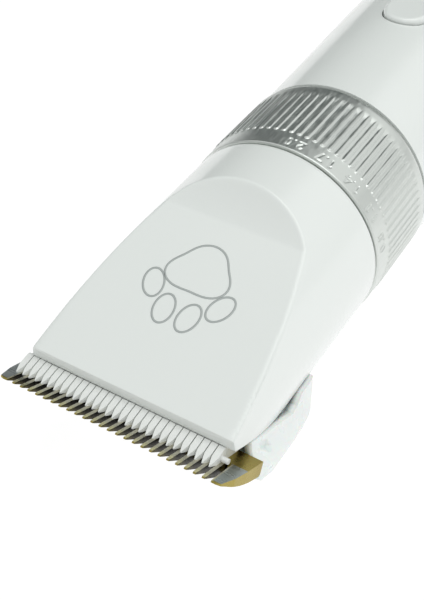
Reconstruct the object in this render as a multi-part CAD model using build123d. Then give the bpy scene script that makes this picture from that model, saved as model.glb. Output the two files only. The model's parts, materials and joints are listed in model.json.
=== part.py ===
"""Cordless pet clipper with a detachable blade and an adjusting ring.

Everything is modelled in millimetres about the handle's axis: Y runs from the blade (-Y)
to the tail (+Y), +Z is the side with the flat face, and y = 0 is the front edge of the nose.
export_parts() then moves each sub-part so that the origin is below the middle, on the floor.
The blade's own parts are drawn flat in blade coordinates (x, u, n): u runs back along the
plate from the tooth tips and n stands up from the plate's sliding face.
"""

import os
from math import atan2, cos, degrees, radians, sin, tan

from build123d import *

# ---------------------------------------------------------------- driving dimensions
TIP_Y = -6.4              # fixed tooth tips
TIP_Z = 2.02
TAIL_Y = 171.6            # end of the tail cap
FLOOR_Z = -20.0           # flat belly that the clipper rests on
FIT = 0.05                # radial clearance of a running fit
GAP = 0.25                # clearance between other moving pieces
WALL = 1.8                # moulded wall

BLADE_TILT = 27.0         # the plate falls towards the rear
NOSE_R = 18.7             # outside of the nose tube
NOSE_END = 45.9
LIP_TOP = 3.45            # top of the nose's front edge
LIP_BOTTOM = 1.4
FACE_TILT = 18.05         # the flat face rises towards the rear
FACE_END = 31.6
SCOOP_END = 35.8          # where the scoop meets the top of the tube
HOOD_END = 25.3           # the nose is open underneath up to here

RING_START, RING_END = 46.1, 65.8
RING_R = 19.15
BAND_R = 18.95            # smooth band with the numbers
BAND_END = 49.9
RIB_END = 63.3
RIB_COUNT = 80
RIB_DEPTH = 0.4
RING_BORE = 17.2
RING_TURN = 72.0          # from the longest to the shortest cut
CUT_RANGE = 1.2           # the cutter's travel over that turn, along the plate

SLEEVE_BORE = 15.4
NECK_R, NECK_BORE = 15.2, 13.9
NECK_START, NECK_END = 38.0, 74.0
BULKHEAD_START, BULKHEAD_END = 47.5, 50.0
PLATE_START = 25.0        # lever bracket of the chassis
PLATE_HALF = 12.5
PLATE_TOP = (6.0, 8.0)
PLATE_LOW = (-10.0, -8.0)

HANDLE_START, HANDLE_END = 66.1, 162.8
SPLIT_Z = 0.0
HANDLE_SECTIONS = (       # y, half width, half height, centre height
    (66.1, 18.8, 18.8, 0.0),
    (76.0, 19.1, 19.7, -0.6),
    (95.0, 19.6, 20.6, -0.9),
    (120.0, 19.8, 20.6, -0.8),
    (145.0, 18.5, 19.4, -0.9),
    (162.8, 16.2, 16.8, -0.8),
)

PITCH = 1.5               # fixed teeth
GAP_COUNT = 25
CUTTER_PITCH = 1.227      # ceramic teeth
CUTTER_TEETH = 30
CUTTER_TIP = 3.0          # tips of the ceramic teeth
CUTTER_END = 10.7         # rear edge of the ceramic blade
CUTTER_TOP = 2.25         # its thickness under the lip
EAR_END = 10.9            # rear edge of the plate's ears
PLATE_PLAN = ((19.3, 0.0), (20.0, 0.35), (20.75, 3.3), (21.05, 6.4), (21.3, EAR_END), (21.3, EAR_END + 1))
HEEL_LINE = ((0.12, 0.0), (0.0, -0.25), (1.2, -0.65), (2.6, -1.15), (5.0, -1.85), (7.6, -2.3),
             (EAR_END - 0.4, -2.5), (EAR_END, -2.2), (EAR_END, 0.0))
BLADE_SCREW_X, BLADE_SCREW_U = 11.0, 16.8
CARRIAGE_HALF = 17.2      # half width of the bar behind the ceramic blade
CARRIAGE_START, CARRIAGE_END = 10.95, 13.6
SHEATH_HALF = 17.9        # inside of the holder's front walls
FLANK_HALF = 21.4         # widest place of the holder
RECESS_FLOOR = 18.95      # half width across the finger recesses
RECESS = ((13.3, 1.6), (13.4, 0.2), (15.9, -0.9), (16.6, -0.3), (16.2, 0.9))

LEVER_Y = 27.0            # vertical pivot of the drive lever
TIP_CONTACT_Y = 5.0       # lever tip in the follower's slot
ROLLER_Y = (36.5, 41.5)
ROLLER_MIDDLE = (ROLLER_Y[0] + ROLLER_Y[1]) / 2
ROLLER_R = 2.0
THROW = 0.715             # eccentricity of the drive pin
FORK_HALF = 3.8           # clear of the roller at every angle of rotor and lever
PRONG_HALF = 6.6
ADJUST_Y = 57.0           # cam pin of the adjuster
HOOK_Y, HOOK_Z, HOOK_R = 24.5, -13.0, 1.2

MOTOR_R = 12.0
MOTOR_START, MOTOR_END = 50.05, 80.0
SHAFT_R = 1.0
BATTERY_R, BATTERY_START, BATTERY_LENGTH, BATTERY_Z = 9.1, 88.0, 65.0, -6.0
BOARD_Z, BOARD_THICK = 6.0, 1.2
BOARD_START, BOARD_END, BOARD_HALF = 86.5, 150.0, 9.0
BUTTON_Y, BUTTON_LENGTH, BUTTON_WIDTH, BUTTON_TRAVEL = 98.0, 15.0, 9.0, 0.7
LENS_Y, LENS_LENGTH, LENS_WIDTH = 116.0, 11.0, 3.0
JACK_START, JACK_END = 154.0, 167.4
SOCKET_R, SOCKET_DEPTH = 4.5, 4.0
SHELL_SCREWS = [(side * 13.0, y) for side in (-1, 1) for y in (91.0, 141.0)]
NOSE_SCREWS = [(side * 7.0, 34.5) for side in (-1, 1)]
MOTOR_SCREW_X = 8.0
SCREW_R, SCREW_HEAD_R, SCREW_HEAD = 1.1, 2.1, 1.3

MID_Y = (TIP_Y + TAIL_Y) / 2
BLADE = Location((0, TIP_Y, TIP_Z), (-BLADE_TILT, 0, 0))

# The motor stops with the drive pin out to the right, so the lever's tip and the ceramic blade
# stand at the left end of their stroke.
PARK_SWING = degrees(atan2(THROW, ROLLER_MIDDLE - LEVER_Y))
PARK_SHIFT = -(LEVER_Y - TIP_CONTACT_Y) * tan(radians(PARK_SWING))
PARK_TURN = Rot(0, 90, 0)
PARKED_LEVER = Location((0, LEVER_Y, 0), (0, 0, -PARK_SWING)) * Pos(0, -LEVER_Y, 0)


# ---------------------------------------------------------------- small helpers
def cyl_y(radius, y0, y1, x=0.0, z=0.0):
    return Pos(x, (y0 + y1) / 2, z) * Rot(90, 0, 0) * Cylinder(radius, y1 - y0)


def cyl_z(radius, z0, z1, x=0.0, y=0.0):
    return Pos(x, y, (z0 + z1) / 2) * Cylinder(radius, z1 - z0)


def cyl_x(radius, x0, x1, y=0.0, z=0.0):
    return Pos((x0 + x1) / 2, y, z) * Rot(0, 90, 0) * Cylinder(radius, x1 - x0)


def tube_y(outer, inner, y0, y1, x=0.0, z=0.0):
    return cyl_y(outer, y0, y1, x, z) - cyl_y(inner, y0 - 1, y1 + 1, x, z)


def block(x0, x1, y0, y1, z0, z1):
    return Pos((x0 + x1) / 2, (y0 + y1) / 2, (z0 + z1) / 2) * Box(x1 - x0, y1 - y0, z1 - z0)


def prism_x(points, x0, x1):
    """A (y, z) outline drawn out from x0 to x1."""
    return extrude(Plane.YZ.offset(x0) * Polygon(*points), x1 - x0, dir=(1, 0, 0))


def prism_up(points, z0, z1):
    """An (x, y) outline drawn up from z0 to z1."""
    return extrude(Pos(0, 0, z0) * Polygon(*points), z1 - z0, dir=(0, 0, 1))


def blade_side(u, n):
    """The (y, z) place of a point given in blade coordinates."""
    tilt = radians(BLADE_TILT)
    return (TIP_Y + u * cos(tilt) + n * sin(tilt), TIP_Z - u * sin(tilt) + n * cos(tilt))


def both_sides(shape):
    return shape + mirror(shape, Plane.YZ)


def screw(x, y, head_z, tip_z):
    """A pan head screw driven upwards, with a cross recess in its head."""
    head = cyl_z(SCREW_HEAD_R, head_z, head_z + SCREW_HEAD, x, y)
    recess = block(x - 1.2, x + 1.2, y - 0.25, y + 0.25, head_z - 1, head_z + 0.7)
    recess += block(x - 0.25, x + 0.25, y - 1.2, y + 1.2, head_z - 1, head_z + 0.7)
    return head + cyl_z(SCREW_R, head_z + SCREW_HEAD, tip_z, x, y) - recess


# ---------------------------------------------------------------- nose
def face_height(y):
    return LIP_TOP + y * tan(radians(FACE_TILT))


def face_tool(drop):
    """Everything above the flat face and its scoop, lowered by the wall thickness."""
    base = face_height(FACE_END) - drop
    line = Polyline((-20, LIP_TOP - drop - 20 * tan(radians(FACE_TILT))), (FACE_END - 1.5, base - 0.5))
    curve = Spline(line @ 1, (FACE_END + 1.6, base + 1.7), (SCOOP_END, NOSE_R - drop),
                   tangents=(line % 1, (0.62, 0.78)))
    top = Polyline(curve @ 1, (SCOOP_END + 8, NOSE_R - drop + 10), (-20, NOSE_R + 12), line @ 0)
    return extrude(Plane.YZ.offset(-30) * make_face([line, curve, top]), 60, dir=(1, 0, 0))


def seam_outline(gap):
    """Lower edge of the nose, or upper edge of the blade holder when gap is taken off."""
    edge = ((0.0, LIP_BOTTOM), (5.5, -1.6), (11.0, -4.4), (16.9, -7.5), (18.5, -7.3), (20.1, -5.8))
    return [(y, z - gap) for y, z in edge]


def nose_shell():
    outer = cyl_y(NOSE_R, 0, NOSE_END) - face_tool(0)
    outer -= prism_x([(-1, LIP_BOTTOM), *seam_outline(0), (HOOD_END, -5.8), (HOOD_END, -25), (-1, -25)],
                     -30, 30)
    cavity = cyl_y(NOSE_R - WALL, -1, NOSE_END - 3.9) - face_tool(LIP_TOP - LIP_BOTTOM)
    shell = outer - cavity - cyl_y(NECK_R + FIT, NOSE_END - 5, NOSE_END + 1)
    for x, y in NOSE_SCREWS:
        boss = cyl_z(3.0, -18.5, -14.1, x, y) & cyl_y(NOSE_R, y - 5, y + 5)
        shell += boss
        shell -= cyl_z(SCREW_R + FIT, -20, -10, x, y) + cyl_z(SCREW_HEAD_R + 0.2, -20, -15.3, x, y)
    return shell


def nose_screws():
    return [screw(x, y, -16.6, -10.6) for x, y in NOSE_SCREWS]


# ---------------------------------------------------------------- chassis
def chassis():
    frame = tube_y(NECK_R, NECK_BORE, NECK_START, NECK_END)
    frame += cyl_y(NECK_BORE + 0.5, BULKHEAD_START, BULKHEAD_END)
    for low, high in (PLATE_TOP, PLATE_LOW):
        plate = block(-PLATE_HALF, PLATE_HALF, PLATE_START, NECK_START + 1, low, high)
        plate += block(-PLATE_HALF, PLATE_HALF, NECK_START, BULKHEAD_START + 1, low, high) & cyl_y(
            NECK_R - 0.5, NECK_START, BULKHEAD_START + 1)
        frame += plate - cyl_z(1.2 + FIT / 2, low - 1, high + 1, 0, LEVER_Y)
    for x, y in NOSE_SCREWS:
        frame += cyl_z(2.6, -13.95, PLATE_LOW[0] + 0.5, x, y)
        frame -= cyl_z(SCREW_R + FIT / 2, -15, -10.4, x, y)
    frame -= cyl_y(3.05, BULKHEAD_START - 1, BULKHEAD_END + 1)
    for side in (-1, 1):
        frame -= cyl_y(SCREW_R + FIT / 2, BULKHEAD_START - 1, BULKHEAD_END + 1, side * MOTOR_SCREW_X)
    frame -= block(-3.4, 3.4, BULKHEAD_START - 1, BULKHEAD_END + 1, -13.7, -12.05)
    frame -= block(-1.9, 1.9, ADJUST_Y - 3.2, ADJUST_Y + 1.9, -16, -13)
    frame -= block(-4.0, 4.0, 51.5, 62.5, 13, 16)
    return frame


def latch_block():
    legs = block(-9.6, 9.6, HOOK_Y - 0.9, 31.0, -16.0, PLATE_LOW[0])
    legs &= cyl_y(NOSE_R - WALL - GAP, 20, 40) + block(-10, 10, 20, HOOD_END - 0.3, -20, 0)
    legs -= block(-4.2, 4.2, HOOK_Y - 2, 32, -17, -11.6)
    legs -= cyl_x(HOOK_R + 0.1, -11, 11, HOOK_Y, HOOK_Z)
    mouth = [(HOOK_Y, HOOK_Z + 1.12), (HOOK_Y - 4, HOOK_Z + 1.12), (HOOK_Y - 4, -17),
             (HOOK_Y - 2.4, -17), (HOOK_Y + 0.9, HOOK_Z - 0.8)]
    return legs - prism_x(mouth, -11, 11)


def lever_pivot_pin():
    return cyl_z(1.2, PLATE_LOW[0], PLATE_TOP[1] + 0.6, 0, LEVER_Y)


def ring_detent_spring():
    leaf = block(-3.7, 3.7, 52.0, 62.0, 14.0, 14.4)
    bump = cyl_y(0.6, 53.0, 61.0, 0, 14.7)
    return leaf + (bump & block(-2, 2, 50, 64, 14.2, SLEEVE_BORE - 0.12))


# ---------------------------------------------------------------- adjusting ring
def adjust_ring():
    profile = [(RING_BORE, RING_START), (BAND_R - 0.25, RING_START), (BAND_R, RING_START + 0.25),
               (BAND_R, BAND_END - 0.2), (RING_R, BAND_END), (RING_R, RIB_END + 0.4),
               (RING_R - 0.15, RING_END - 0.6), (RING_R - 0.6, RING_END), (RING_BORE, RING_END)]
    ring = revolve(Plane.XY * Polygon(*profile), Axis.Y)
    groove = Pos(0, (BAND_END + RIB_END) / 2, RING_R) * Box(0.75, RIB_END - BAND_END - 0.8, 2 * RIB_DEPTH)
    grooves = [Rot(0, i * 360 / RIB_COUNT, 0) * groove for i in range(RIB_COUNT)]
    return ring - grooves


def cam_sleeve():
    sleeve = tube_y(RING_BORE - FIT / 2, SLEEVE_BORE, RING_START + 2, RING_END - 1.6)
    steps = 12
    rise = CUT_RANGE * cos(radians(BLADE_TILT))
    for i in range(steps + 1):
        share = i / steps
        slot = Pos(0, ADJUST_Y - rise * share, -17) * Box(4.0, 3.2, 6)
        sleeve -= Rot(0, RING_TURN * share, 0) * slot
    notch = cyl_y(0.7, 52.5, 61.5, 0, SLEEVE_BORE)
    for i in range(5):
        sleeve -= Rot(0, RING_TURN * i / 4, 0) * notch
    return sleeve


def adjuster_slider():
    bar = block(-3.0, 3.0, 17.0, 61.0, -13.35, -12.35)
    finger = block(-2.6, 2.6, 16.95, 18.6, -13.35, -7.0)
    return bar + finger - cyl_z(1.0, -14, -11, 0, ADJUST_Y)


def cam_pin():
    return cyl_z(1.5, -16.9, -13.35, 0, ADJUST_Y) + cyl_z(1.0, -13.4, -12.35, 0, ADJUST_Y)


# ---------------------------------------------------------------- blade unit
def fixed_blade():
    right = list(PLATE_PLAN)
    plan = [*right, *((-x, u) for x, u in reversed(right))]
    plate = prism_x(HEEL_LINE, -25, 25) & prism_up(plan, -5, 5)
    plate += block(-16.0, 16.0, EAR_END - 0.5, 19.0, -1.9, 0)
    for i in range(GAP_COUNT):
        x = (i - (GAP_COUNT - 1) / 2) * PITCH
        half = [(0.62, -1), (0.52, 0.1), (0.46, 0.8), (0.45, 6.2), (0.25, 6.6)]
        gap = [(x - w, u) for w, u in half] + [(x + w, u) for w, u in reversed(half)]
        plate -= prism_up(gap, -4, 4)
    for side in (-1, 1):
        plate -= cyl_z(1.3, -4, 1, side * BLADE_SCREW_X, BLADE_SCREW_U)
    return BLADE * plate


def holder_body():
    """The cover under the blade: a side outline, rounded in plan, in front view and up to the seam."""
    belly = Spline((1.45, -5.06), (3.9, -9.1), (7.6, -12.4), (12.5, -15.5), (18.5, -17.1), (22.2, -15.0),
                   (24.0, -11.0), (24.3, -6.05))
    front = [blade_side(EAR_END + 0.05, 1.99), blade_side(EAR_END + 0.05, -2.6), blade_side(10.2, -2.65)]
    top = Polyline(belly @ 1, *reversed(seam_outline(GAP)[1:]), *front, belly @ 0)
    half = extrude(Plane.YZ * make_face([belly, top]), 25, dir=(1, 0, 0))
    flank = Spline((FLANK_HALF, 3.0), (21.0, 9.5), (20.5, 15.5), (19.6, 20.5), (18.4, 24.6),
                   tangents=((0, 1), (-0.3, 0.95)))
    plan = make_face([flank, Polyline(flank @ 1, (0, 24.6), (0, 0), (FLANK_HALF, 0), flank @ 0)])
    half &= Pos(0, 0, -25) * extrude(plan, 30, dir=(0, 0, 1))
    keel = Spline((FLANK_HALF, -6.0), (20.6, -9.8), (19.2, -13.2), (14.0, -16.4), (0, -17.6),
                  tangents=((0, -1), (-1, 0)))
    section = make_face([keel, Polyline(keel @ 1, (0, 2), (FLANK_HALF, 2), keel @ 0)])
    half &= extrude(Plane.XZ * section, 40, dir=(0, 1, 0))
    shoulder = Spline((18.7, 2.4), (19.0, 1.2), (19.6, 0.0), (20.35, -1.2), (21.0, -2.6), (FLANK_HALF, -4.5))
    cut = make_face([shoulder, Polyline(shoulder @ 1, (25, -4.5), (25, 12), (18.7, 12), shoulder @ 0)])
    half -= BLADE * extrude(Plane.XZ * cut, 40, dir=(0, 1, 0))
    return both_sides(half)


def blade_holder():
    solid = holder_body()
    # room for the plate's tongue, the bar behind the cutter, the lever and the latch
    bay = [(EAR_END - 2, -1.95), (19.2, -1.95), (19.2, -0.02), (26.0, -0.02), (26, 30), (EAR_END - 2, 30)]
    solid -= BLADE * prism_x(bay, -16.4, 16.4)
    solid -= BLADE * block(-SHEATH_HALF, SHEATH_HALF, EAR_END - 2, CARRIAGE_END + GAP, 0.0, 30)
    solid -= block(-16.4, 16.4, 16.0, 30, -11.0, 0)
    solid -= block(-4.4, 4.4, 14.0, 30, -14.6, 0)
    solid -= block(-10.4, 10.4, HOOK_Y - 1.5, 30, -25, 0)
    solid -= block(-10.4, 10.4, HOOK_Y - 3.3, 30, -25, HOOK_Z - 0.7)
    for side in (-1, 1):
        near, far = sorted((side * 4.5, side * 9.6))
        solid += cyl_x(HOOK_R, near, far, HOOK_Y, HOOK_Z)
        solid += block(near, far, HOOK_Y - 4.5, HOOK_Y, HOOK_Z - 0.7, HOOK_Z + 0.7)
        solid -= BLADE * cyl_z(0.95, -6.5, 0, side * BLADE_SCREW_X, BLADE_SCREW_U)
        near, far = sorted((side * RECESS_FLOOR, side * 24.0))
        solid -= BLADE * prism_x(RECESS, near, far)
    return solid


def blade_screws():
    found = []
    for side in (-1, 1):
        x = side * BLADE_SCREW_X
        body = cyl_z(2.0, 0.45, 1.45, x, BLADE_SCREW_U) + cyl_z(0.9, -6.0, 0.45, x, BLADE_SCREW_U)
        slot = block(x - 1.4, x + 1.4, BLADE_SCREW_U - 0.3, BLADE_SCREW_U + 0.3, 1.0, 2.0)
        found.append(BLADE * (body - slot))
    return found


def blade_springs():
    found = []
    for side in (-1, 1):
        near, far = sorted((side * MOTOR_SCREW_X, side * 14.0))
        leaf = [(13.9, 0.02), (18.8, 0.02), (18.8, 0.42), (14.3, 0.42), (14.3, 2.4), (7.6, 2.4),
                (7.0, 2.8), (6.8, 2.5), (7.4, 1.98), (13.9, 1.98)]
        spring = prism_x(leaf, near, far) - cyl_z(1.1, -1, 1, side * BLADE_SCREW_X, BLADE_SCREW_U)
        found.append(BLADE * spring)
    return found


def cutter_guide():
    guide = block(-CARRIAGE_HALF, CARRIAGE_HALF, CARRIAGE_START, CARRIAGE_END, 0.12, 1.6)
    guide += block(-3.0, 3.0, CARRIAGE_END - 0.1, 25.2, 0.12, 1.4)
    return BLADE * guide


# ---------------------------------------------------------------- cutter
def ceramic_blade():
    half = CUTTER_PITCH * CUTTER_TEETH / 2
    edge = [(CUTTER_TIP, 0.0), (CUTTER_TIP - 0.05, 0.2), (CUTTER_TIP + 0.15, 0.42),
            (5.9, CUTTER_TOP), (6.4, CUTTER_TOP), (6.7, 1.9),
            (CUTTER_END, 1.9), (CUTTER_END, 0.0)]
    blade = prism_x(edge, -half, half)
    for i in range(CUTTER_TEETH + 1):
        x = (i - CUTTER_TEETH / 2) * CUTTER_PITCH
        half_slot = [(0.6, CUTTER_TIP - 0.7), (0.5, CUTTER_TIP + 0.05), (0.26, CUTTER_TIP + 0.65),
                     (0.1, CUTTER_TIP + 1.2), (0.07, 6.6)]
        slot = [(x - w, u) for w, u in half_slot] + [(x + w, u) for w, u in reversed(half_slot)]
        blade -= prism_up(slot, -1, 4)
    lug = cyl_x(0.45, half - 1.0, half + 1.1, 5.6, 0.6)
    return BLADE * Pos(PARK_SHIFT, 0, 0) * (blade + lug)


def cutter_follower():
    driven = block(-5.0, 5.0, 9.0, 13.4, 1.9, 3.6)
    return BLADE * Pos(PARK_SHIFT, 0, 0) * (driven - block(-1.5, 1.5, 7, 15, 2.5, 6))


# ---------------------------------------------------------------- drive lever
def drive_lever():
    hub = cyl_z(3.4, PLATE_LOW[1] + GAP, PLATE_TOP[0] - GAP, 0, LEVER_Y)
    arm = block(-1.9, 1.9, 9.0, LEVER_Y, 0.1, 3.1)
    neck = block(-1.0, 1.0, TIP_CONTACT_Y, 9.0, 0.1, 2.0)
    tip = cyl_z(1.4, 0.1, 2.0, 0, TIP_CONTACT_Y)
    yoke = block(-PRONG_HALF, PRONG_HALF, LEVER_Y, ROLLER_Y[0] - 2.0, -3.0, 3.0)
    prongs = both_sides(block(FORK_HALF, PRONG_HALF, ROLLER_Y[0] - 3.0, ROLLER_Y[1], -3.0, 3.0))
    lever = hub + arm + neck + tip + yoke + prongs - cyl_z(2.2, -12, 12, 0, LEVER_Y)
    return PARKED_LEVER * lever


def lever_bush():
    sleeve = cyl_z(2.2, PLATE_LOW[1] + GAP, PLATE_TOP[0] - GAP, 0, LEVER_Y)
    return sleeve - cyl_z(1.2 + FIT, -12, 12, 0, LEVER_Y)


# ---------------------------------------------------------------- motor
def motor_can():
    can = cyl_y(MOTOR_R, MOTOR_START, MOTOR_END) - cyl_y(MOTOR_R - 0.9, MOTOR_START + 1.2, MOTOR_END + 1)
    can -= cyl_y(3.0, MOTOR_START - 1, MOTOR_START + 2)
    for side in (-1, 1):
        can -= cyl_y(SCREW_R + FIT / 2, MOTOR_START - 1, MOTOR_START + 2, side * MOTOR_SCREW_X)
    return can


def motor_magnets():
    ring = tube_y(MOTOR_R - 0.92, 9.3, MOTOR_START + 4, MOTOR_END - 5)
    return both_sides(ring & block(3.5, 13, 0, 100, -20, 20))


def motor_end_cap():
    cap = cyl_y(MOTOR_R, MOTOR_END, MOTOR_END + 2.0) + cyl_y(MOTOR_R - 0.92, MOTOR_END - 2.0, MOTOR_END)
    cap -= cyl_y(MOTOR_R - 2.4, MOTOR_END - 3.0, MOTOR_END + 0.6)
    cap += cyl_y(4.0, MOTOR_END, MOTOR_END + 3.6)
    return cap - cyl_y(2.0, MOTOR_END - 1, MOTOR_END + 5)


def motor_terminals():
    return [block(x - 0.9, x + 0.9, MOTOR_END + 2.0, MOTOR_END + 5.5, 5.8, 6.1) for x in (-6.0, 6.0)]


def front_bush():
    return tube_y(2.98, SHAFT_R + FIT, MOTOR_START - 1.5, MOTOR_START + 1.8)


def rear_bush():
    return tube_y(1.98, SHAFT_R + FIT, MOTOR_END + 0.4, MOTOR_END + 3.4)


def motor_screws():
    found = []
    for side in (-1, 1):
        x = side * MOTOR_SCREW_X
        head = cyl_y(1.9, BULKHEAD_START - 1.1, BULKHEAD_START, x)
        shank = cyl_y(SCREW_R, BULKHEAD_START, MOTOR_START + 1.2, x)
        slot = block(x - 1.3, x + 1.3, BULKHEAD_START - 2, BULKHEAD_START - 0.6, -0.25, 0.25)
        found.append(head + shank - slot)
    return found


def carbon_brushes():
    return both_sides(block(2.75, 6.5, 76.4, 78.0, -0.8, 0.8))


def motor_shaft():
    return cyl_y(SHAFT_R, 43.2, MOTOR_END + 3.2)


def armature():
    core = cyl_y(8.7, 55.5, 72.5)
    for i in range(3):
        slot = block(-0.8, 0.8, 50, 80, 4.0, 10) + cyl_y(2.4, 50, 80, 0, 5.6)
        core -= Rot(0, 60 + 120 * i, 0) * slot
    return core - cyl_y(SHAFT_R + 0.01, 50, 80)


def rotor_windings():
    found = []
    for i in range(3):
        coil = block(-3.6, 3.6, 53.8, 55.4, 3.2, 7.4) + block(-3.6, 3.6, 72.6, 74.2, 3.2, 7.4)
        found += [Rot(0, 120 * i, 0) * part for part in coil.solids()]
    return found


def commutator():
    return tube_y(2.6, SHAFT_R + 0.01, 75.0, 79.0)


def eccentric_hub():
    hub = cyl_y(4.2, 42.3, 46.2) & block(-4.2, 4.2, 40, 50, -4.2, 3.0)
    hub -= cyl_y(SHAFT_R + 0.01, 43.2, 50)
    return PARK_TURN * (hub - cyl_y(0.76, 40, 43.2, 0, THROW))


def drive_pin():
    return PARK_TURN * cyl_y(0.75, ROLLER_Y[0] - 0.7, 43.2, 0, THROW)


def drive_roller():
    return PARK_TURN * tube_y(ROLLER_R, 0.75 + FIT, *ROLLER_Y, 0, THROW)


# ---------------------------------------------------------------- handle
def across(y, z):
    """A plane across the handle, with its centre at height z."""
    return Plane(origin=(0, y, z), x_dir=(1, 0, 0), z_dir=(0, 1, 0))


def handle_body(wall, y0=HANDLE_START):
    """The handle's outside, taken in by a wall thickness, with the flat belly."""
    body = loft([across(y, z) * Ellipse(a - wall, b - wall) for y, a, b, z in HANDLE_SECTIONS])
    return body & block(-30, 30, y0, HANDLE_END, FLOOR_Z + wall, 30)


def handle_tube():
    """Closed at the front by a wall that seats on the neck."""
    return handle_body(0) - handle_body(WALL, HANDLE_START + 2.2) - cyl_y(NECK_R + FIT, 60, 75)


def button_outline(grow):
    return SlotOverall(BUTTON_LENGTH + 2 * grow, BUTTON_WIDTH + 2 * grow, rotation=90)


def lens_outline(grow):
    return SlotOverall(LENS_LENGTH + 2 * grow, LENS_WIDTH + 2 * grow, rotation=90)


def handle_upper_shell():
    shell = handle_tube() & block(-30, 30, 60, 170, SPLIT_Z + 0.03, 30)
    shell -= Pos(0, BUTTON_Y, 10) * extrude(button_outline(0.3), 20)
    shell -= Pos(0, LENS_Y, 10) * extrude(lens_outline(0.03), 20)
    for x, y in SHELL_SCREWS:
        boss = cyl_z(2.5, 0.03, 14, x, y) & handle_body(0.5)
        shell += boss
        shell -= cyl_z(SCREW_R + FIT / 2, -1, 8.5, x, y)
    return shell


def handle_lower_shell():
    shell = handle_tube() & block(-30, 30, 60, 170, -30, SPLIT_Z - 0.03)
    for x, y in SHELL_SCREWS:
        boss = cyl_z(2.9, -17, -0.03, x, y) & handle_body(0.5)
        shell += boss
        shell -= cyl_z(SCREW_R + FIT / 2, -20, 1, x, y) + cyl_z(SCREW_HEAD_R + 0.2, -20, -11.8, x, y)
    return shell


def shell_screws():
    return [screw(x, y, -13.1, 7.5) for x, y in SHELL_SCREWS]


def tail_cap():
    y, a, b, z = HANDLE_SECTIONS[-1]
    shrink = ((HANDLE_END + 0.1, 1.0), (HANDLE_END + 4.0, 0.955), (TAIL_Y - 1.6, 0.84), (TAIL_Y, 0.72))
    cap = loft([across(at, z) * Ellipse(a * share, b * share) for at, share in shrink])
    cap -= extrude(across(HANDLE_END, z) * Ellipse(a - 3.4, b - 3.4), 4.6)
    cap -= block(-5.1, 5.1, 160, JACK_END + 0.2, -5.1, 5.1)
    return cap - cyl_y(SOCKET_R, TAIL_Y - SOCKET_DEPTH, TAIL_Y + 1)


def power_button():
    top = max(b + z for y, a, b, z in HANDLE_SECTIONS if y < BUTTON_Y) + 0.35
    cap = Pos(0, BUTTON_Y, 16.6) * extrude(button_outline(0), top - 16.6 + 0.4)
    cap = fillet(cap.faces().sort_by(Axis.Z)[-1].edges(), 0.8)
    flange = Pos(0, BUTTON_Y, 15.4) * extrude(button_outline(1.4), 1.2)
    return cap + flange + cyl_z(1.6, 11.2, 15.5, 0, BUTTON_Y)


def button_spring_pad():
    ring = cyl_z(3.6, BOARD_Z + BOARD_THICK + 3.6, BOARD_Z + BOARD_THICK + 4.6, 0, BUTTON_Y)
    return ring - cyl_z(2.2, 0, 20, 0, BUTTON_Y)


def indicator_lens():
    body = Pos(0, LENS_Y, 15.0) * extrude(lens_outline(0), 6)
    body &= handle_body(0)
    return body + Pos(0, LENS_Y, 14.6) * extrude(lens_outline(1.0), 1.2)


# ---------------------------------------------------------------- power
def battery_cell():
    return cyl_y(BATTERY_R, BATTERY_START, BATTERY_START + BATTERY_LENGTH, 0, BATTERY_Z)


def battery_tabs():
    tabs = []
    for y0 in (BATTERY_START - 0.3, BATTERY_START + BATTERY_LENGTH):
        tabs.append(block(-2.5, 2.5, y0, y0 + 0.3, BATTERY_Z - 3, BOARD_Z))
    return tabs


def battery_tray():
    tray = block(-7.4, 7.4, BATTERY_START + 1, BATTERY_START + 58, -15.9, -10.5)
    return tray - cyl_y(BATTERY_R + FIT, 80, 160, 0, BATTERY_Z)


def circuit_board():
    board = block(-BOARD_HALF, BOARD_HALF, BOARD_START, BOARD_END, BOARD_Z, BOARD_Z + BOARD_THICK)
    for y in (BOARD_START + 3, BOARD_END - 3):
        board -= both_sides(cyl_z(0.9, 0, 10, 6.5, y))
    return board


def tact_switch():
    top = BOARD_Z + BOARD_THICK
    body = block(-3, 3, BUTTON_Y - 3, BUTTON_Y + 3, top, top + 2.4)
    return body + cyl_z(1.5, top + 2.4, top + 3.1, 0, BUTTON_Y)


def board_components():
    top = BOARD_Z + BOARD_THICK
    chips = [(-6.5, -2.5, 104, 110, 1.2), (3.0, 6.0, 105, 108, 1.0), (-7, -4, 126, 129, 1.6),
             (2, 6, 124, 130, 2.6), (-3, 0, 134, 138, 1.1), (3, 5, 138, 142, 0.8), (-7.5, -5.5, 136, 139, 0.8)]
    return [block(x0, x1, y0, y1, top, top + h) for x0, x1, y0, y1, h in chips]


def indicator_leds():
    top = BOARD_Z + BOARD_THICK
    return [block(-0.8, 0.8, LENS_Y + dy - 1, LENS_Y + dy + 1, top, top + 0.9) for dy in (-3.5, 0, 3.5)]


def charging_jack():
    body = block(-4.9, 4.9, JACK_START, JACK_END, -4.9, 4.9)
    return body - cyl_y(2.9, JACK_START + 2, JACK_END + 1)


def jack_pin():
    return cyl_y(1.0, JACK_START + 2, JACK_END - 0.6)


def jack_leads():
    leads = []
    for x in (-3.0, 3.0):
        leads.append(block(x - 0.5, x + 0.5, BOARD_END - 2, JACK_START, 4.0, 4.6)
                     + block(x - 0.5, x + 0.5, BOARD_END - 2, BOARD_END - 1, 4.0, BOARD_Z))
    return leads


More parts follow.
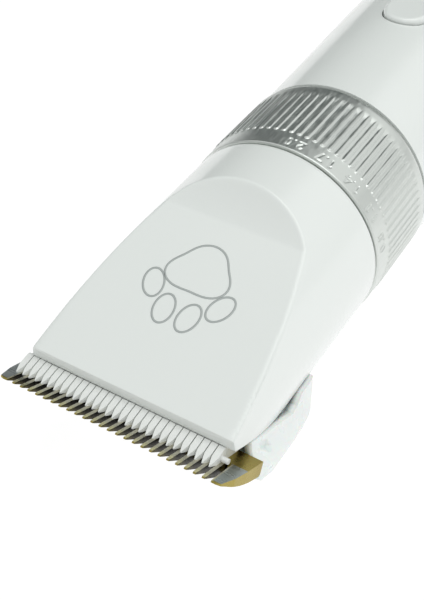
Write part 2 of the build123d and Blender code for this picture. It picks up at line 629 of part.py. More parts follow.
NODES = (nose_shell, nose_screws, chassis, latch_block, lever_pivot_pin, ring_detent_spring,
         adjust_ring, cam_sleeve, adjuster_slider, cam_pin,
         fixed_blade, blade_holder, blade_screws, blade_springs, cutter_guide,
         ceramic_blade, cutter_follower, drive_lever, lever_bush,
         motor_can, motor_magnets, motor_end_cap, motor_terminals, front_bush, rear_bush, motor_screws,
         carbon_brushes, motor_shaft, armature, rotor_windings, commutator,
         eccentric_hub, drive_pin, drive_roller,
         handle_upper_shell, handle_lower_shell, shell_screws, tail_cap,
         power_button, button_spring_pad, indicator_lens,
         battery_cell, battery_tabs, battery_tray, circuit_board, tact_switch, board_components,
         indicator_leds, charging_jack, jack_pin, jack_leads)


def export_parts():
    os.makedirs("parts", exist_ok=True)
    to_floor = Pos(0, -MID_Y, -FLOOR_Z)
    for make in NODES:
        made = make()
        pieces = made if isinstance(made, list) else made.solids()
        shape = Compound(children=[to_floor * piece for piece in pieces])
        export_step(shape, f"parts/{make.__name__}.step")


if __name__ == "__main__":
    export_parts()
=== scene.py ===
"""Looks of the cordless pet clipper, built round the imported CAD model. Lengths are in metres."""
import json
from math import acos, atan, copysign, cos, degrees, exp, floor, hypot, log, pi, radians, sin, sqrt, tan

import bpy
from mathutils import Matrix, Vector


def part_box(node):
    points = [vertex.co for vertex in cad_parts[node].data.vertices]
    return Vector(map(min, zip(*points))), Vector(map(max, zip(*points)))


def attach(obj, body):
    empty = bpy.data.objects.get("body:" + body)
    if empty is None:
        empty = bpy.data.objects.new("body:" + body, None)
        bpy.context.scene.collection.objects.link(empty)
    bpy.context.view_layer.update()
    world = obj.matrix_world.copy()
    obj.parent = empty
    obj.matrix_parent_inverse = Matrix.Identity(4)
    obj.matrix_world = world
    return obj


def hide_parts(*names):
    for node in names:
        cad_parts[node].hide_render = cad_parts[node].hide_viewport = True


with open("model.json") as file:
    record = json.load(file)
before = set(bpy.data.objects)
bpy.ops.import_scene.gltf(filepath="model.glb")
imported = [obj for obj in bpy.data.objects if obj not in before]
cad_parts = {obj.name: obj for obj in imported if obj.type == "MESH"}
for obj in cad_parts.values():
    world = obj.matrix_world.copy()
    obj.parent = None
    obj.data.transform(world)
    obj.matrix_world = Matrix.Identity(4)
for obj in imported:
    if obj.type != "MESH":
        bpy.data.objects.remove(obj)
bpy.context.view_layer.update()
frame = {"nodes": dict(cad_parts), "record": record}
NODES = frame["nodes"]
MM = 0.001

# ---------------------------------------------------------------- places taken from the frame
RING_LOW, RING_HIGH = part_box("adjust_ring")
AXIS_Z = (RING_LOW.z + RING_HIGH.z) / 2
FRONT_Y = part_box("nose_shell")[0].y       # front edge of the nose
BLADE_TILT = radians(27.0)                # the blade falls towards the rear
TIP_Y, TIP_Z = -6.4, 2.02                 # tips of the fixed teeth, as place() takes them


def place(x, y, z):
    """A point given in millimetres from the handle's axis and the nose's front edge."""
    return Vector((x * MM, FRONT_Y + y * MM, AXIS_Z + z * MM))


# ---------------------------------------------------------------- material kit
def new_material(name, colour, roughness, metallic=0.0, **sockets):
    """A Principled material; sockets are set on the shader itself."""
    mat = bpy.data.materials.new(name)
    mat.use_nodes = True
    shader = mat.node_tree.nodes["Principled BSDF"]
    shader.inputs["Base Color"].default_value = (*colour, 1)
    shader.inputs["Roughness"].default_value = roughness
    shader.inputs["Metallic"].default_value = metallic
    for key, value in sockets.items():
        shader.inputs[key.replace("_", " ")].default_value = value
    return mat, mat.node_tree, shader


def add_node(tree, kind, **values):
    node = tree.nodes.new(kind)
    for key, value in values.items():
        if key in node.inputs.keys():
            node.inputs[key].default_value = value
        else:
            setattr(node, key, value)
    return node


def coordinates(tree, scale=(1, 1, 1)):
    mapping = add_node(tree, "ShaderNodeMapping")
    mapping.inputs["Scale"].default_value = scale
    source = add_node(tree, "ShaderNodeTexCoord")
    tree.links.new(source.outputs["Object"], mapping.inputs["Vector"])
    return mapping.outputs["Vector"]


def noise(tree, vector, scale, detail=3.0, rough=0.5):
    node = add_node(tree, "ShaderNodeTexNoise", Scale=scale, Detail=detail, Roughness=rough)
    tree.links.new(vector, node.inputs["Vector"])
    return node.outputs["Fac"]


def spread(tree, value, low, high, start=0.3, end=0.7):
    """Maps start..end of a value to low..high, smoothly."""
    node = add_node(tree, "ShaderNodeMapRange", interpolation_type="SMOOTHSTEP")
    for key, number in (("From Min", start), ("From Max", end), ("To Min", low), ("To Max", high)):
        node.inputs[key].default_value = number
    tree.links.new(value, node.inputs["Value"])
    return node.outputs["Result"]


def ramp(tree, value, start, end):
    """Rises smoothly from zero at start to one at end."""
    return spread(tree, value, 0.0, 1.0, start, end)


def combine(tree, operation, first, second=0.0):
    """A math node on two sockets, or on a socket and a number."""
    node = add_node(tree, "ShaderNodeMath", operation=operation)
    for i, value in enumerate((first, second)):
        if isinstance(value, (int, float)):
            node.inputs[i].default_value = value
        else:
            tree.links.new(value, node.inputs[i])
    return node.outputs[0]


def along(tree, vector, direction, origin=(0, 0, 0)):
    """How far a vector reaches in a direction, from an origin."""
    shift = add_node(tree, "ShaderNodeVectorMath", operation="SUBTRACT")
    tree.links.new(vector, shift.inputs[0])
    shift.inputs[1].default_value = origin
    dot = add_node(tree, "ShaderNodeVectorMath", operation="DOT_PRODUCT")
    tree.links.new(shift.outputs["Vector"], dot.inputs[0])
    dot.inputs[1].default_value = direction
    return dot.outputs["Value"]


def blend_colours(tree, factor, first, second):
    """Mixes two colours or colour sockets."""
    node = add_node(tree, "ShaderNodeMix", data_type="RGBA")
    tree.links.new(factor, node.inputs["Factor"])
    for key, value in (("A", first), ("B", second)):
        socket = next(s for s in node.inputs if s.name == key and s.type == "RGBA")
        if isinstance(value, tuple):
            socket.default_value = (*value, 1)
        else:
            tree.links.new(value, socket)
    return next(s for s in node.outputs if s.type == "RGBA")


def bump(tree, shader, height, distance, strength=1.0):
    node = add_node(tree, "ShaderNodeBump", Strength=strength, Distance=distance)
    tree.links.new(height, node.inputs["Height"])
    tree.links.new(node.outputs["Normal"], shader.inputs["Normal"])


def moulded_plastic(name, colour, shade, roughness, grain=1800.0, depth=2e-6, **sockets):
    """Moulded plastic: slow drift of colour and gloss, and a very fine skin."""
    mat, tree, shader = new_material(name, colour, roughness, **sockets)
    vector = coordinates(tree)
    slow = noise(tree, vector, 45.0)
    tree.links.new(blend_colours(tree, slow, colour, shade), shader.inputs["Base Color"])
    tree.links.new(spread(tree, noise(tree, vector, 160.0), roughness * 0.85, roughness * 1.2),
                   shader.inputs["Roughness"])
    bump(tree, shader, noise(tree, vector, grain, 2.0), depth)
    return mat


def worked_metal(name, colour, shade, roughness, stretch=(1, 1, 1), scale=900.0, depth=1.5e-6, **sockets):
    """Ground or drawn metal: grinding lines drawn out across the stretch."""
    mat, tree, shader = new_material(name, colour, roughness, metallic=1.0, **sockets)
    vector = coordinates(tree, stretch)
    lines = noise(tree, vector, scale, 4.0, 0.6)
    tree.links.new(blend_colours(tree, lines, colour, shade), shader.inputs["Base Color"])
    tree.links.new(spread(tree, lines, roughness * 0.75, roughness * 1.3), shader.inputs["Roughness"])
    bump(tree, shader, lines, depth)
    return mat


# ---------------------------------------------------------------- materials by slot
BACK = (0, cos(BLADE_TILT), -sin(BLADE_TILT))        # along the plate, away from the tooth tips
STAND = (0, sin(BLADE_TILT), cos(BLADE_TILT))        # out of the plate's sliding face
TIPS = place(0, TIP_Y, TIP_Z)
GROUND_END = 6.5 * MM                                # the bare ground zone, from the tips
TOOTHED_HALF = 18.7 * MM                             # half width of the toothed zone


def coated_blade():
    """Gold coating, ground bare where the cutter slides, with painted shade on the slot walls between the
    teeth and a painted highlight on the ridge tops near the tips.
    """
    gold, deep = (0.40, 0.32, 0.085), (0.28, 0.21, 0.045)
    mat, tree, shader = new_material("titanium_gold", gold, 0.3, metallic=1.0)
    source = add_node(tree, "ShaderNodeTexCoord")
    where, facing = source.outputs["Object"], source.outputs["Normal"]
    back = along(tree, where, BACK, TIPS)
    side = combine(tree, "ABSOLUTE", along(tree, where, (1, 0, 0)))
    upward = ramp(tree, along(tree, facing, STAND), 0.75, 0.95)
    sideways = ramp(tree, combine(tree, "ABSOLUTE", along(tree, facing, (1, 0, 0))), 0.6, 0.85)
    grind = noise(tree, coordinates(tree, (1, 9, 9)), 420.0, 4.0, 0.6)
    coat = blend_colours(tree, ramp(tree, back, GROUND_END - 0.1 * MM, GROUND_END + 5 * MM), gold, deep)
    coat = blend_colours(tree, grind, coat, gold)
    between = spread(tree, side, 1.0, 0.0, TOOTHED_HALF - 0.1 * MM, TOOTHED_HALF + 0.1 * MM)
    bare_end = blend_colours(tree, grind, (0.36, 0.40, 0.40), (0.50, 0.53, 0.52))
    # ground ridge tops: bare grey-tan steel further back, paled to yellow towards the tips as a painted
    # highlight
    ridge_and_highlight = blend_colours(tree, ramp(tree, back, 0.4 * MM, 2.2 * MM),
                          (0.86, 0.80, 0.48), (0.62, 0.59, 0.49))
    bare = blend_colours(tree, between, bare_end, ridge_and_highlight)
    before_end = spread(tree, back, 1.0, 0.0, GROUND_END - 0.1 * MM, GROUND_END + 0.1 * MM)
    ground = combine(tree, "MULTIPLY", upward, before_end)
    rim = ramp(tree, back, 0.2 * MM, 0.6 * MM)
    ground = combine(tree, "MULTIPLY", ground, combine(tree, "MAXIMUM", rim, between))
    # painted shade: sideways-facing walls in the toothed zone are coloured near black, darkest back towards
    # the ceramic, standing in for the shadow inside the slots
    shaded_wall = combine(tree, "MULTIPLY", sideways, between)
    dark = blend_colours(tree, ramp(tree, back, 0.0, 2.8 * MM), (0.085, 0.07, 0.02), (0.018, 0.014, 0.006))
    colour = blend_colours(tree, ground, coat, bare)
    colour = blend_colours(tree, shaded_wall, colour, dark)
    tree.links.new(colour, shader.inputs["Base Color"])
    tree.links.new(spread(tree, grind, 0.24, 0.42), shader.inputs["Roughness"])
    bump(tree, shader, grind, 1.5e-6)
    return mat


def make_materials():
    white = moulded_plastic("gloss_white", (0.80, 0.83, 0.81), (0.82, 0.845, 0.825), 0.22,
                            Coat_Weight=0.35, Coat_Roughness=0.08, IOR=1.5)
    holder = moulded_plastic("holder_white", (0.82, 0.84, 0.82), (0.85, 0.865, 0.85), 0.28,
                             Subsurface_Weight=0.2, Subsurface_Scale=0.003, IOR=1.5)
    ring = worked_metal("ring_silver", (0.66, 0.69, 0.665), (0.72, 0.745, 0.715), 0.38,
                        stretch=(1, 0.15, 1), scale=2600.0, depth=2e-7)
    return {
        "gloss_white": white,
        "holder_white": holder,
        "ring_silver": ring,
        "titanium_gold": coated_blade(),
        "zirconia_white": moulded_plastic("zirconia_white", (0.80, 0.82, 0.80), (0.84, 0.85, 0.83), 0.35,
                                          grain=2600.0),
        "guide_black": moulded_plastic("guide_black", (0.012, 0.012, 0.01), (0.02, 0.02, 0.017), 0.45),
        "spring_steel": worked_metal("spring_steel", (0.55, 0.55, 0.55), (0.65, 0.65, 0.64), 0.28),
        "screw_steel": worked_metal("screw_steel", (0.45, 0.45, 0.46), (0.58, 0.58, 0.58), 0.32),
        "frame_black": moulded_plastic("frame_black", (0.012, 0.012, 0.012), (0.02, 0.02, 0.02), 0.45),
        "acetal_white": moulded_plastic("acetal_white", (0.72, 0.72, 0.68), (0.78, 0.78, 0.75), 0.4),
        "bearing_bronze": worked_metal("bearing_bronze", (0.45, 0.28, 0.12), (0.55, 0.36, 0.18), 0.4),
        "motor_steel": worked_metal("motor_steel", (0.5, 0.5, 0.48), (0.6, 0.6, 0.58), 0.35),
        "motor_black": moulded_plastic("motor_black", (0.01, 0.01, 0.01), (0.018, 0.018, 0.018), 0.5),
        "ferrite": moulded_plastic("ferrite", (0.03, 0.03, 0.03), (0.05, 0.05, 0.05), 0.6),
        "laminated_steel": worked_metal("laminated_steel", (0.25, 0.25, 0.26), (0.35, 0.35, 0.36), 0.4),
        "copper": worked_metal("copper", (0.6, 0.22, 0.09), (0.7, 0.3, 0.14), 0.3),
        "silicone": moulded_plastic("silicone", (0.35, 0.35, 0.35), (0.4, 0.4, 0.4), 0.6),
        "lens_clear": moulded_plastic("lens_clear", (0.45, 0.5, 0.52), (0.5, 0.55, 0.56), 0.12,
                                      Subsurface_Weight=0.3, Subsurface_Scale=0.002),
        "cell_wrap": moulded_plastic("cell_wrap", (0.02, 0.09, 0.3), (0.03, 0.12, 0.36), 0.3),
        "board_green": moulded_plastic("board_green", (0.01, 0.12, 0.04), (0.02, 0.16, 0.06), 0.3),
        "component_black": moulded_plastic("component_black", (0.012, 0.012, 0.012), (0.02, 0.02, 0.02),
                                           0.4),
        "led_white": moulded_plastic("led_white", (0.8, 0.8, 0.65), (0.85, 0.85, 0.7), 0.2),
    }


def dress_nodes(materials):
    slots = {entry["node"]: entry["material_slot"] for entry in frame["record"]["subparts"]}
    for name, node in NODES.items():
        node.data.materials.clear()
        node.data.materials.append(materials[slots[name]])


# ---------------------------------------------------------------- mesh kit
def smooth_step(low, high, value):
    share = min(max((value - low) / (high - low), 0.0), 1.0)
    return share * share * (3 - 2 * share)


def steps(start, end, count):
    """Evenly spaced values from start to end, both included."""
    return [start + (end - start) * i / (count - 1) for i in range(count)]


def make_piece(name, points, faces, body, material, stands_for=()):
    """A smooth-shaded mesh piece that rides a body and stands for CAD nodes."""
    mesh = bpy.data.meshes.new(name)
    mesh.from_pydata(points, [], faces)
    mesh.materials.append(material)
    mesh.shade_smooth()
    piece = bpy.data.objects.new(name, mesh)
    bpy.context.scene.collection.objects.link(piece)
    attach(piece, body)
    if stands_for:
        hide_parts(*stands_for)
    return piece


def turned_shell(rows, columns, radius):
    """A closed ring shape: rows are (y, fixed radius or None), and None takes radius(angle, y)."""
    points, faces = [], []
    for y, fixed in rows:
        for i in range(columns):
            angle = 2 * pi * i / columns
            r = radius(angle, y) if fixed is None else fixed
            points.append(place(r * sin(angle), y, r * cos(angle)))
    count = len(rows)
    for j in range(count):
        for i in range(columns):
            a, b = j * columns + i, j * columns + (i + 1) % columns
            c, d = ((j + 1) % count) * columns + (i + 1) % columns, ((j + 1) % count) * columns + i
            faces.append((a, b, c, d))
    return points, faces


# ---------------------------------------------------------------- adjusting ring
RIB_COUNT, RIB_HALF, RIB_HEIGHT = 80, 0.52, 0.22
RIB_START, RIB_FADE, SHOULDER_START = 50.7, 61.6, 63.4
BASE_R, RING_BORE_R = 18.93, 17.25
RING_COLUMNS, RING_Y = 1200, (46.15, 65.75)
LABEL_Y, DIGIT_HEIGHT, DIGIT_WIDTH, STROKE, ENGRAVED = 48.0, 1.75, 1.1, 0.17, 0.14
LABELS = ((4, "2.0"), (22, "1.7"), (40, "1.4"), (58, "1.1"), (76, "0.8"))
LABEL_REACH = 2.9                         # half length of the longest label
ADVANCE, WIDE_ADVANCE = {".": 0.75, "1": 1.35}, 1.55
ROUND_START, ROUND_RATE = 64.3, 0.3       # the rear edge falls away from here


def arc(cx, cy, rx, ry, start, end, count=10):
    return [(cx + rx * cos(radians(a)), cy + ry * sin(radians(a))) for a in steps(start, end, count)]


GLYPHS = {                # strokes in a box one unit wide and one unit high
    "0": [arc(0.5, 0.5, 0.42, 0.5, 0, 360, 17)],
    "1": [[(0.25, 0.8), (0.55, 1.0), (0.55, 0.0)]],
    "2": [arc(0.5, 0.72, 0.4, 0.28, 160, -35, 9) + [(0.08, 0.0), (0.95, 0.0)]],
    "4": [[(0.95, 0.3), (0.05, 0.3), (0.68, 1.0), (0.68, 0.0)]],
    "7": [[(0.05, 1.0), (0.95, 1.0), (0.4, 0.0)]],
    "8": [arc(0.5, 0.74, 0.33, 0.26, 0, 360, 13), arc(0.5, 0.25, 0.4, 0.25, 0, 360, 13)],
    ".": [[(0.3, 0.0), (0.34, 0.04)]],
}


def label_strokes(text):
    """Line pieces of a label in mm, centred on its own middle."""
    total = sum(ADVANCE.get(mark, WIDE_ADVANCE) for mark in text)
    found, at = [], -total / 2
    for mark in text:
        for stroke in GLYPHS[mark]:
            ends = [(at + 0.15 + x * DIGIT_WIDTH, (y - 0.5) * DIGIT_HEIGHT) for x, y in stroke]
            found += list(zip(ends, ends[1:]))
        at += ADVANCE.get(mark, WIDE_ADVANCE)
    return found


STROKES = {angle: label_strokes(text) for angle, text in LABELS}


def distance_to_line(x, y, start, end):
    dx, dy = end[0] - start[0], end[1] - start[1]
    share = min(max(((x - start[0]) * dx + (y - start[1]) * dy) / (dx * dx + dy * dy), 0), 1)
    return hypot(x - start[0] - share * dx, y - start[1] - share * dy)


def ring_radius(angle, y):
    """Ribs with round front ends, running out into the rear shoulder, and engraved numbers."""
    if y < RIB_START - RIB_HALF:
        turn = degrees(angle)
        for centre, strokes in STROKES.items():
            offset = radians(centre - turn) * BASE_R
            if abs(offset) < LABEL_REACH:
                near = min(distance_to_line(offset, LABEL_Y - y, a, b) for a, b in strokes)
                return BASE_R - ENGRAVED * (1 - smooth_step(STROKE * 0.55, STROKE * 1.5, near))
        return BASE_R
    phase = angle * RIB_COUNT / (2 * pi)
    across = (phase - floor(phase) - 0.5) * 2 * pi * BASE_R / RIB_COUNT
    before = max(RIB_START - y, 0)
    rib = 1 - smooth_step(0.42 * RIB_HALF, RIB_HALF, hypot(across, before))
    shoulder = smooth_step(RIB_FADE, SHOULDER_START, y)
    round_off = max(y - ROUND_START, 0) ** 2 * ROUND_RATE
    return BASE_R + RIB_HEIGHT * max(rib, shoulder, 0) - round_off


def make_ring(material):
    start, end = RING_Y
    rows = [(start, RING_BORE_R), (start, BASE_R - 0.25), (start + 0.1, BASE_R - 0.07)]
    rows += [(y, None) for y in steps(start + 0.25, RIB_START - RIB_HALF - 0.02, 46)]
    rows += [(y, None) for y in steps(RIB_START - RIB_HALF + 0.03, RIB_START + 0.05, 9)]
    rows += [(y, None) for y in steps(RIB_START + 1.5, RIB_FADE, 4)]
    rows += [(y, None) for y in steps(RIB_FADE + 0.2, end, 22)]
    rows += [(end, RING_BORE_R + 0.6), (end, RING_BORE_R)]
    points, faces = turned_shell(rows, RING_COLUMNS, ring_radius)
    return make_piece("adjust_ring_ribbed", points, faces, "ring", material, ["adjust_ring"])


# ---------------------------------------------------------------- nose
NOSE_R, NOSE_BACK, HOOD_BACK = 18.7, 45.9, 25.3
LIP_TOP, FACE_SLOPE = 3.45, tan(radians(18.05))
SCOOP_START, SCOOP_END, EDGE_ROUND = 30.6, 35.8, 0.35
LIP_DEPTH = 2.05                          # the front edge, and the wall under the flat face
SEAM = ((0.0, LIP_TOP - LIP_DEPTH), (5.5, -1.6), (11.0, -4.4), (16.9, -7.5), (18.5, -7.3), (20.1, -5.8),
        (HOOD_BACK, -5.8))
SHELL_WALL = 1.75
SCREW_X, SCREW_Y, WELL_R, WELL_FLOOR = 7.0, 34.5, 2.4, 16.45


def cut_height(y):
    """Height of the flat face, and of the scoop that climbs from it to the top of the tube."""
    height = LIP_TOP + FACE_SLOPE * y
    if y <= SCOOP_START:
        return height
    share = (y - SCOOP_START) / (SCOOP_END - SCOOP_START)
    rise = NOSE_R + 0.05 - (LIP_TOP + FACE_SLOPE * SCOOP_END)
    return height + rise * (0.55 * share + 0.45 * share ** 2)


def seam_height(y):
    for (y0, z0), (y1, z1) in zip(SEAM, SEAM[1:]):
        if y <= y1:
            return z0 + (z1 - z0) * (y - y0) / (y1 - y0)
    return SEAM[-1][1]


def nose_radius(angle, y, outside=True):
    """The tube, or the cut where that is nearer, with the edge between them rounded."""
    up, tube = cos(angle), NOSE_R if outside else NOSE_R - SHELL_WALL
    if outside and up < -0.5:
        from_screw = hypot(abs(tube * sin(angle)) - SCREW_X, y - SCREW_Y)
        return tube + (WELL_FLOOR / -up - tube) * smooth_step(WELL_R, WELL_R - 0.2, from_screw)
    if up < 0.02 or y > SCOOP_END + 1.5:
        return tube
    flat = (cut_height(y) - (0 if outside else LIP_DEPTH)) / up
    gap = max(EDGE_ROUND - abs(flat - tube), 0) / EDGE_ROUND
    return min(flat, tube) - gap * gap * EDGE_ROUND / 4


def thicken(points, inner, faces):
    """Closes a skin with a second one inside it, and joins the two along every open edge."""
    count = len(points)
    edges = {(face[k], face[(k + 1) % len(face)]) for face in faces for k in range(len(face))}
    closed = list(faces) + [tuple(count + v for v in reversed(face)) for face in faces]
    closed += [(b, a, a + count, b + count) for a, b in edges if (b, a) not in edges]
    return points + inner, closed


def soften(piece, width, angle=50):
    """Rounds the sharp edges of a piece."""
    edges = piece.modifiers.new("edges", "BEVEL")
    edges.width = width * MM
    edges.segments = 2
    edges.limit_method = "ANGLE"
    edges.angle_limit = radians(angle)


def make_nose(material):
    """The tube with its flat face and scoop, open under the front where the blade unit goes."""
    columns, under = 400, 210
    stations = steps(0, HOOD_BACK - 0.4, 84) + steps(HOOD_BACK, SCOOP_START, 14)
    stations += steps(SCOOP_START + 0.25, SCOOP_END + 1.6, 30) + steps(SCOOP_END + 2.0, NOSE_BACK - 0.3, 14)
    stations += [NOSE_BACK]
    first = stations.index(HOOD_BACK)
    rows = {True: [], False: []}
    for outside, skin in rows.items():
        tube = NOSE_R if outside else NOSE_R - SHELL_WALL
        for j, y in enumerate(stations):
            half = acos(seam_height(y) / tube)
            turns = [half * (2 * i / columns - 1) for i in range(columns + 1)]
            if j >= first:
                turns += [half + (2 * pi - 2 * half) * i / under for i in range(1, under)]
            closing = 0.2 if outside and y == NOSE_BACK else 0.0
            for angle in turns:
                r = nose_radius(angle, y, outside) - closing
                skin.append(place(r * sin(angle), y, r * cos(angle)))
    starts = [j * (columns + 1) + max(j - first, 0) * (under - 1) for j in range(len(stations))]
    faces = []
    for j in range(len(stations) - 1):
        near, far = starts[j], starts[j + 1]
        wide = columns + under if j >= first else columns
        for i in range(wide):
            k = (i + 1) % (columns + under) if j >= first else i + 1
            faces.append((near + i, near + k, far + k, far + i))
    points, faces = thicken(rows[True], rows[False], faces)
    nose = make_piece("nose_cover", points, faces, "housing", material, ["nose_shell"])
    soften(nose, 0.16)


# ---------------------------------------------------------------- blade holder
FLANK = ((3.0, 21.3), (9.5, 21.0), (15.5, 20.5), (20.5, 19.6), (24.6, 18.4))        # y, half width
KEEL = ((-17.1, 9.6), (-16.4, 14.0), (-13.2, 19.2), (-9.8, 20.6), (-6.0, 21.3))     # z, half width
SHOULDER = ((-4.5, 21.3), (-2.6, 21.0), (-1.2, 20.35), (0.0, 19.6), (1.2, 19.0), (2.4, 18.7))
BELLY = ((1.45, -5.06), (2.55, -7.1), (3.9, -9.1), (7.6, -12.4), (12.5, -15.5), (15.5, -16.6),
         (18.5, -17.1), (20.6, -16.5), (22.2, -15.0), (24.0, -11.0), (24.3, -6.4))  # y, z of the bottom
RIM = ((2.18, -5.27), (4.26, -1.18), (5.5, -1.85), (9.5, -3.89), (13.5, -5.96), (16.9, -7.75),
       (18.5, -7.55), (20.1, -6.05), (22.0, -6.05), (24.0, -6.05), (24.3, -6.05))   # above each of them
RECESS = ((13.3, 1.6), (13.4, 0.2), (15.9, -0.9), (16.6, -0.3), (16.2, 0.9))        # along, out of plate
RECESS_FLOOR, CORNER, SKIN, LEDGE = 18.95, 1.3, 0.9, 0.55
BLEND = 0.22                              # how softly the three half widths run together
HOLDER_MIDDLE = (13.0, -9.5)              # y, z that the inner skin is drawn towards
LATCH_HALF, LATCH_START = 10.4, 21.2      # opening for the latch, and its front end
DOOR_HALF, DOOR_START = 16.4, -11.0       # opening at the rear, and its lower edge
CORE_VOXEL, CORE_INSET = 0.22, 0.3


def curve(points, at):
    """Smooth curve through (position, value) points, held beyond its ends."""
    if not points[0][0] < at < points[-1][0]:
        return points[0][1] if at <= points[0][0] else points[-1][1]
    i = next(k for k in range(len(points) - 1) if at <= points[k + 1][0])
    (x0, y0), (x1, y1) = points[i], points[i + 1]
    before, after = points[max(i - 1, 0)], points[min(i + 2, len(points) - 1)]
    width = x1 - x0
    start = (y1 - before[1]) / (x1 - before[0]) * width
    end = (after[1] - y0) / (after[0] - x0) * width
    t = (at - x0) / width
    near = ((2 * t - 3) * t * t + 1) * y0 + ((t - 2) * t * t + t) * start
    return near + (3 - 2 * t) * t * t * y1 + (t - 1) * t * t * end


def in_recess(u, n):
    """One inside the finger recess and nothing outside it, with a soft edge."""
    reach = -9.0
    for (u0, n0), (u1, n1) in zip(RECESS, RECESS[1:] + RECESS[:1]):
        du, dn = u1 - u0, n1 - n0
        reach = max(reach, ((u - u0) * dn - (n - n0) * du) / hypot(du, dn))
    return smooth_step(0.1, -0.35, reach)


def holder_half_width(y, z):
    """The narrowest of the plan, the front view and the shoulder along the blade, less the recess."""
    back, lift = y - TIP_Y, z - TIP_Z
    u = back * cos(BLADE_TILT) - lift * sin(BLADE_TILT)
    n = back * sin(BLADE_TILT) + lift * cos(BLADE_TILT)
    limits = (curve(FLANK, y), curve(KEEL, z), curve(SHOULDER, n))
    wide = -BLEND * log(sum(exp(-limit / BLEND) for limit in limits))
    return wide + (min(RECESS_FLOOR, wide) - wide) * in_recess(u, n)


def holder_strip(t, rows):
    """(x, y, z, nearness to the rim) from the right rim, under the belly, to the left rim."""
    y0, z0 = (curve([(k, point[axis]) for k, point in enumerate(BELLY)], t) for axis in (0, 1))
    k = min(int(t), len(RIM) - 2)
    y1, z1 = (RIM[k][axis] + (RIM[k + 1][axis] - RIM[k][axis]) * (t - k) for axis in (0, 1))
    half = []
    for share in steps(1, 0, rows):
        share = share ** 1.3
        y, z = y0 + (y1 - y0) * share, z0 + (z1 - z0) * share
        near = max(CORNER - hypot(y - y0, z - z0), 0)
        wide = holder_half_width(y, z) - CORNER + sqrt(CORNER ** 2 - near ** 2)
        half.append((wide, y, z, max(1 - 6 * (1 - share), 0)))
    edge = half[-1][0]
    for part, limit in ((0.985, DOOR_HALF), (0.97, LATCH_HALF), (0.2, 2.0)):
        half.append((min(part * edge, limit), y0, z0, 0))
    return half + [(-x, y, z, rim) for x, y, z, rim in reversed(half)]


def inside_skin(x, y, z, rim, edge):
    """The point of the inner skin behind a point of the outer one."""
    to_y, to_z = HOLDER_MIDDLE[0] - y, HOLDER_MIDDLE[1] - z
    share = SKIN * (1 - 0.95 * rim) / hypot(to_y, to_z)
    inset = (SKIN + LEDGE * rim) * min(abs(x) / edge, 1)
    return place(x - copysign(inset, x), y + to_y * share, z + to_z * share)


def is_open(x, y, z):
    """Where the belly is left out, for the latch and for the rear opening."""
    return (y > LATCH_START and abs(x) < LATCH_HALF) or (y > 20 and z > DOOR_START and abs(x) < DOOR_HALF)


def make_holder(material):
    """A smooth skin over the holder's sides and belly; the moulding inside it is drawn in a little."""
    columns, rows = 220, 64
    strips = [holder_strip(t, rows) for t in steps(0, len(BELLY) - 1, columns)]
    count = len(strips[0])
    outer = [place(x, y, z) for strip in strips for x, y, z, rim in strip]
    inner = [inside_skin(*point, strip[rows - 1][0]) for strip in strips for point in strip]
    faces = []
    for i in range(columns - 1):
        for j in range(count - 1):
            (x0, y, z, _), x1 = strips[i][j], strips[i][j + 1][0]
            if rows <= j < count - rows - 1 and is_open((x0 + x1) / 2, y, z):
                continue
            a = i * count + j
            faces.append((a, a + count, a + count + 1, a + 1))
    points, faces = thicken(outer, inner, faces)
    make_piece("holder_skin", points, faces, "blade_unit", material)
    inside = NODES["blade_holder"]
    core = inside.modifiers.new("core", "REMESH")
    core.mode = "VOXEL"
    core.voxel_size = CORE_VOXEL * MM
    core.use_smooth_shade = True
    shrink = inside.modifiers.new("shrink", "DISPLACE")
    shrink.mid_level = 0.0
    shrink.strength = -CORE_INSET * MM


# ---------------------------------------------------------------- printed paw outline
PAW_Y, LINE_WIDTH, INK = 19.5, 0.36, 0.03


def oval(cx, cy, rx, ry, turn, lobes=0.0, count=64):
    """A closed outline on the flat face: an ellipse, or a rounded triangle with lobes."""
    found = []
    for i in range(count):
        a = 2 * pi * i / count
        grow = 1 + lobes * cos(3 * (a + pi / 2))
        x, y = rx * grow * cos(a), ry * grow * sin(a)
        found.append((cx + x * cos(turn) - y * sin(turn), cy + x * sin(turn) + y * cos(turn)))
    return found


def printed_line(outline):
    """A closed band of ink, as points and faces, lying on the flat face."""
    slope = atan(FACE_SLOPE)
    points, faces, count = [], [], len(outline)
    for i, (x, s) in enumerate(outline):
        (x0, s0), (x1, s1) = outline[i - 1], outline[(i + 1) % count]
        length = hypot(x1 - x0, s1 - s0)
        nx, ns = (s1 - s0) / length, -(x1 - x0) / length
        for out, lift in ((-1, -INK), (-1, INK), (1, INK), (1, -INK)):
            px, ps = x + out * nx * LINE_WIDTH / 2, s + out * ns * LINE_WIDTH / 2
            points.append(place(px, ps * cos(slope) - lift * sin(slope),
                                LIP_TOP + ps * sin(slope) + lift * cos(slope)))
    for i in range(count):
        for k in range(4):
            a, b = i * 4 + k, i * 4 + (k + 1) % 4
            c, d = ((i + 1) % count) * 4 + (k + 1) % 4, ((i + 1) % count) * 4 + k
            faces.append((a, b, c, d))
    return points, faces


def make_paw():
    outlines = [oval(-0.5, PAW_Y + 3.0, 5.4, 4.4, pi, 0.13)]
    for x, s, turn in ((-6.6, -1.6, 0.45), (-2.6, -5.0, 0.15), (1.9, -5.0, -0.15), (5.8, -1.6, -0.45)):
        outlines.append(oval(x, PAW_Y + s, 1.75, 2.6, turn))
    points, faces = [], []
    for outline in outlines:
        more, added = printed_line(outline)
        faces += [tuple(v + len(points) for v in face) for face in added]
        points += more
    ink = moulded_plastic("print_grey", (0.40, 0.43, 0.42), (0.46, 0.49, 0.48), 0.45)
    make_piece("paw_print", points, faces, "housing", ink)


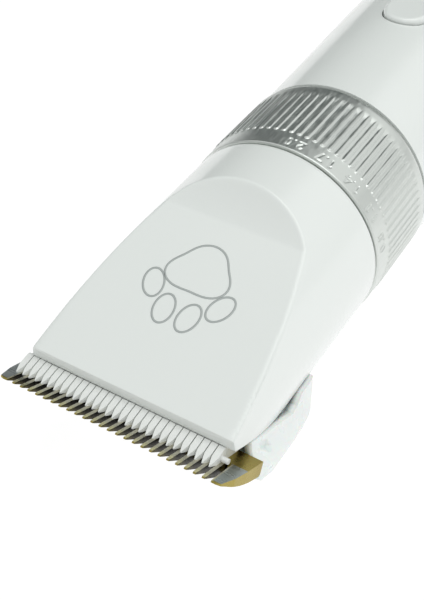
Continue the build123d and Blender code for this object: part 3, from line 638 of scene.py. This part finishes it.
# ---------------------------------------------------------------- camera, light and floor
def make_camera():
    azimuth, elevation, roll = radians(34.32), radians(44.33), radians(-2.98)
    camera = bpy.data.objects.new("camera", bpy.data.cameras.new("camera"))
    bpy.context.scene.collection.objects.link(camera)
    camera.data.sensor_fit = "VERTICAL"
    camera.data.sensor_height = 36.0
    camera.data.lens = 61.79
    turn = (Matrix.Rotation(azimuth, 4, "Z") @ Matrix.Rotation(pi / 2 - elevation, 4, "X")
            @ Matrix.Rotation(roll, 4, "Z"))
    camera.matrix_world = Matrix.Translation(place(67.56, -75.63, 119.92)) @ turn
    camera.data.clip_start = 0.005
    bpy.context.scene.camera = camera


def make_world():
    """A white tent, brightest above and to the right, with a dark gap behind on the left."""
    world = bpy.data.worlds.new("studio")
    world.use_nodes = True
    tree = world.node_tree
    source = add_node(tree, "ShaderNodeTexCoord").outputs["Generated"]
    right, behind, up = (along(tree, source, axis) for axis in ((1, 0, 0), (0, 1, 0), (0, 0, 1)))
    above = spread(tree, up, 0.42, 0.86, -0.05, 0.75)
    tent = combine(tree, "ADD", above, spread(tree, right, -0.12, 0.16, -0.6, 0.7))
    tent = combine(tree, "MULTIPLY", tent, spread(tree, behind, 0.86, 1.06, -0.8, 0.4))
    on_left = spread(tree, right, 1.0, 0.0, -0.02, 0.2)
    gap = combine(tree, "MULTIPLY", on_left, ramp(tree, behind, 0.3, 0.5))
    kept = combine(tree, "SUBTRACT", 1.0, combine(tree, "MULTIPLY", gap, 0.84))
    light = combine(tree, "MULTIPLY", tent, kept)
    tree.links.new(blend_colours(tree, light, (0.0, 0.012, 0.012), (0.985, 1.0, 0.99)),
                   tree.nodes["Background"].inputs["Color"])
    tree.nodes["Background"].inputs["Strength"].default_value = 1.0
    bpy.context.scene.world = world


def area_light(name, at, target, size, power, colour=(1, 1, 1)):
    data = bpy.data.lights.new(name, "AREA")
    data.shape = "RECTANGLE"
    data.size, data.size_y = size
    data.energy = power
    data.color = colour
    light = bpy.data.objects.new(name, data)
    bpy.context.scene.collection.objects.link(light)
    light.location = at
    light.rotation_euler = (Vector(target) - Vector(at)).to_track_quat("-Z", "Y").to_euler()


def make_studio():
    make_world()
    area_light("overhead", (0.12, 0.02, 0.7), (0, -0.03, 0.02), (0.5, 0.5), 1.2, (0.98, 1.0, 0.99))
    reach = 1.5
    mesh = bpy.data.meshes.new("floor")
    mesh.from_pydata([(-reach, -reach, 0), (reach, -reach, 0), (reach, reach, 0), (-reach, reach, 0)], [],
                     [(0, 1, 2, 3)])
    floor_plane = bpy.data.objects.new("floor", mesh)
    bpy.context.scene.collection.objects.link(floor_plane)
    mat, tree, shader = new_material("floor", (0.22, 0.22, 0.22), 0.8)
    shader.inputs["Emission Color"].default_value = (1, 1, 1, 1)
    shader.inputs["Emission Strength"].default_value = 0.85
    mesh.materials.append(mat)


materials = make_materials()
make_camera()
make_studio()
dress_nodes(materials)
make_ring(materials["ring_silver"])
make_nose(materials["gloss_white"])
make_paw()
make_holder(materials["holder_white"])
bpy.context.scene.view_settings.view_transform = "Standard"
